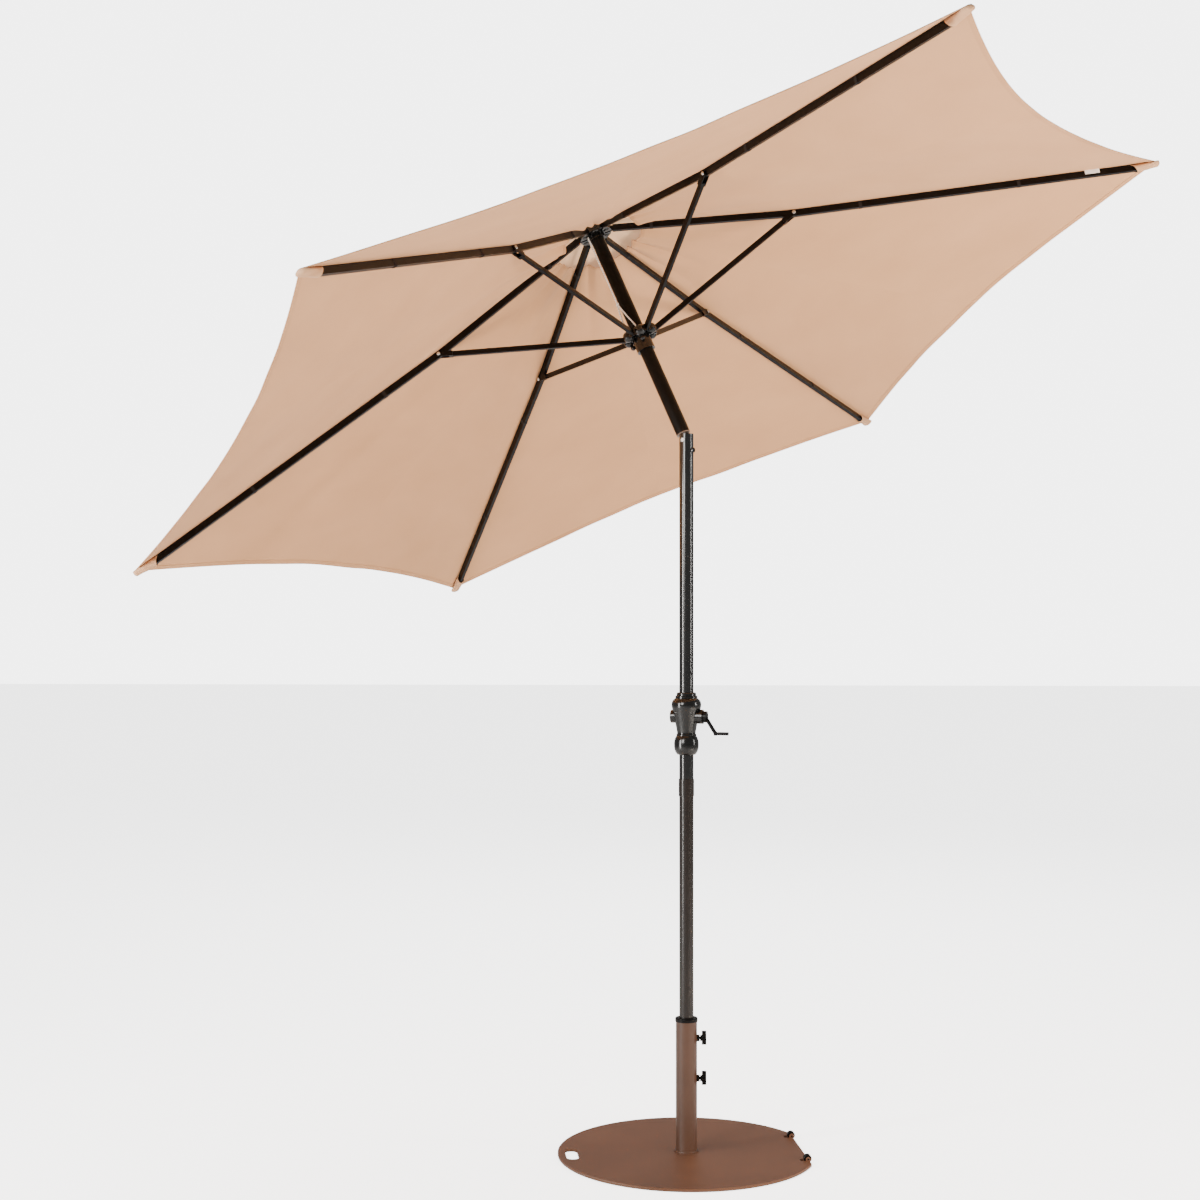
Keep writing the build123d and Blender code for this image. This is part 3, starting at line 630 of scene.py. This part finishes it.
def tag_point(u, v):
    curl = 0.0014 * math.sin(math.pi * v) + 0.0008 * math.sin(2.5 * math.pi * v + 1.0)
    return (tag_centre + tag_sideways * (0.0063 + curl) + tag_up * (0.0095 - tag_high * u)
            + tag_along * (v - 0.5) * tag_long)


tag = rolled_cloth("size_tag", 8, 24, tag_point, (tag_high, tag_long), thickness=0.0005)
tag.data.materials.append(tag_finish)
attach(tag, "rib_4")


# ------------------------------------------------------------------ vent cap
# A small six-sided cap of the same cloth sits above the vent, held at its middle under the finial.
# A thin sheet under it is painted paler than the cloth and glows weakly: painted light that stands in for
# the daylight coming through the cap.
cap_reach = 0.250
cap_dip = 0.016
cap_eye = 0.008
cap_top = 0.0342
cap_flat = 0.030
cap_slope = 0.327
cap_sag = 0.010
glow_sheet_gap = 0.0013


def cap_point(u, v):
    around = (u % 1.0) * 6.0
    number = int(around) + 1
    share = 2.0 * (around - int(around))
    side = 1.0 - abs(1.0 - share)
    w = cap_eye + (cap_reach - cap_dip * side ** 2 - cap_eye) * v
    y = w * half_panel * share
    x = w - y * math.tan(rib_step / 2)
    px, py = turned_to(number, x, y)
    z = cap_top - cap_slope * max(0.0, w - cap_flat) - cap_sag * side * v
    z += 0.004 * side * v * noise.noise(Vector((px * 14.0, py * 14.0, 2.2)))
    return in_canopy(px, py, hub_height + z)


def lining_point(u, v):
    return cap_point(u, v) - along_pole * glow_sheet_gap


# painted light: the sheet under the cap is a paler copy of the cloth, and it glows though it is no lamp
glow_sheet_dark = (0.60, 0.35, 0.19, 1.0)
glow_sheet_pale = (0.68, 0.41, 0.23, 1.0)
painted_glow_cloth = cloth_finish("painted_glow_cloth", glow_sheet_dark, glow_sheet_pale, canopy_threads)
painted_glow_shader = painted_glow_cloth.node_tree.nodes["Principled BSDF"]
painted_glow_shader.inputs["Emission Color"].default_value = (1.0, 0.70, 0.43, 1.0)
painted_glow_shader.inputs["Emission Strength"].default_value = 0.42
cap = rolled_cloth("vent_cap_cloth", 144, 28, cap_point, (1.4, 0.25), thickness=0.0007)
cap.data.materials.append(canopy_cloth)
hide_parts("vent_cap")
# the sheet under the cap that carries the painted glow
glow_sheet = rolled_cloth("vent_cap_glow_sheet", 144, 28, lining_point, (1.4, 0.25), thickness=0.0004)
glow_sheet.data.materials.append(painted_glow_cloth)
for piece in (cap, glow_sheet):
    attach(piece, "upper_pole")


# ------------------------------------------------------------------ lift cord
# A white braided cord runs inside the poles, over the hub and down beside the upper pole.
# Its visible run is 3.8 mm thick and ends in two legs that go to the runner.
def cord_finish(name):
    finish, tree, shader = new_finish(name)
    layout = tree.nodes.new("ShaderNodeUVMap")
    braid = tree.nodes.new("ShaderNodeTexWave")
    braid.bands_direction = "DIAGONAL"
    braid.inputs["Scale"].default_value = 90.0
    braid.inputs["Distortion"].default_value = 0.5
    tree.links.new(layout.outputs["UV"], braid.inputs["Vector"])
    ramp = tree.nodes.new("ShaderNodeValToRGB")
    ramp.color_ramp.elements[0].color = (0.60, 0.57, 0.52, 1.0)
    ramp.color_ramp.elements[1].color = (0.88, 0.86, 0.82, 1.0)
    tree.links.new(braid.outputs["Fac"], ramp.inputs["Fac"])
    tree.links.new(ramp.outputs["Color"], shader.inputs["Base Color"])
    bump = tree.nodes.new("ShaderNodeBump")
    bump.inputs["Strength"].default_value = 0.6
    bump.inputs["Distance"].default_value = 0.0004
    tree.links.new(braid.outputs["Fac"], bump.inputs["Height"])
    tree.links.new(bump.outputs["Normal"], shader.inputs["Normal"])
    shader.inputs["Roughness"].default_value = 0.7
    return finish


white_braid = cord_finish("white_braid")
paint(white_braid, "lift_cord_lower", "lift_cord_inner")
cord_out = 0.0275
cord_angle = math.radians(63.04)
cord_radius = 0.0019
runner_level = hub_height - 2 * bend_drop
yoke_level = runner_level + 0.105
knot_below_yoke = 0.004
knot_size = 0.0036
leg_turn = 60.0


def cord_tube(name, start, end, bow, rows):
    """A round cord between two points; bow is how far its middle stands out of the straight line."""
    line = (end - start).normalized()
    first = line.orthogonal().normalized()
    second = line.cross(first)

    def place(u, v):
        turn = 2 * math.pi * u
        middle = start.lerp(end, v) + bow * math.sin(math.pi * v)
        return middle + (first * math.cos(turn) + second * math.sin(turn)) * cord_radius

    return rolled_cloth(name, 14, rows, place, (0.0094, (end - start).length))


def cord_ring(angle, out, level):
    return in_canopy(out * math.cos(angle), out * math.sin(angle), level)


knot_at = cord_ring(cord_angle, cord_out, yoke_level - knot_below_yoke)
fall = cord_tube("lift_cord_fall", knot_at, cord_ring(cord_angle, cord_out, hub_height + 0.012),
                 Vector((0, 0, 0)), 60)
fall.data.materials.append(white_braid)
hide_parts("lift_cord_upper")
cord_ring(cord_angle, cord_out, yoke_level)
cord_ring(cord_angle, cord_out, hub_height)
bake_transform(fall)


def knot_point(u, v):
    turn, tilt = 2 * math.pi * u, math.pi * (v - 0.5)
    ball = Vector((math.cos(turn) * math.cos(tilt), math.sin(turn) * math.cos(tilt), 1.5 * math.sin(tilt)))
    return knot_at + ball * knot_size * (1 + 0.25 * noise.noise(ball * 3.0))


yoke = rolled_cloth("cord_knot", 24, 16, knot_point, (0.02, 0.02))
yoke.data.materials.append(white_braid)
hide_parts("cord_yoke")
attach(yoke, "cord_end")
for number, turn in enumerate((leg_turn, -leg_turn), start=1):
    foot_angle = cord_angle + math.radians(turn)
    foot = cord_ring(foot_angle, 0.031, runner_level + 0.009)
    bow = cord_ring(cord_angle + math.radians(turn / 2), 0.003, 0.0) - tilt_point
    leg = cord_tube("cord_leg_" + str(number), knot_at, foot, bow, 24)
    leg.data.materials.append(white_braid)
    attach(leg, "cord_end")


# ------------------------------------------------------------------ hub and runner bosses
# Both mouldings have a rounded boss between each pair of slots. The cord's two ends are held under the
# runner by small black beads.
bead_out = 0.033


def ball(name, centre, radius, squeeze):
    bpy.ops.object.select_all(action="DESELECT")
    bpy.ops.mesh.primitive_uv_sphere_add(segments=28, ring_count=14, radius=radius)
    piece = bpy.context.object
    piece.name = name
    bpy.ops.object.mode_set(mode="EDIT")
    bpy.ops.mesh.select_all(action="SELECT")
    bpy.ops.transform.resize(value=(1.0, 1.0, squeeze))
    bpy.ops.object.mode_set(mode="OBJECT")
    turn = along_pole.to_track_quat("Z", "Y").to_matrix().to_4x4()
    piece.data.transform(Matrix.Translation(centre) @ turn)
    bpy.ops.object.shade_smooth()
    return piece


for level, carrier, name, boss_size in ((hub_height, "upper_pole", "hub_bosses", 0.0128),
                                        (runner_level, "runner", "runner_bosses", 0.0150)):
    bosses = []
    for k in range(1, 7):
        angle = rib_turn + math.radians(60.0 * k - 30.0)
        bosses.append(ball("boss", cord_ring(angle, 0.0225 + boss_size, level), boss_size, 1.05))
    boss = join_as(name, bosses)
    boss.data.materials.append(moulded_black)
    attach(boss, carrier)
beads = []
for turn in (leg_turn, -leg_turn):
    bead_angle = cord_angle + math.radians(turn)
    beads.append(ball("bead", cord_ring(bead_angle, bead_out, runner_level - 0.0215), 0.0072, 1.0))
    beads.append(ball("bead", cord_ring(bead_angle, bead_out, runner_level - 0.0140), 0.0030, 1.6))
bead = join_as("cord_beads", beads)
bead.data.materials.append(moulded_black)
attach(bead, "runner")
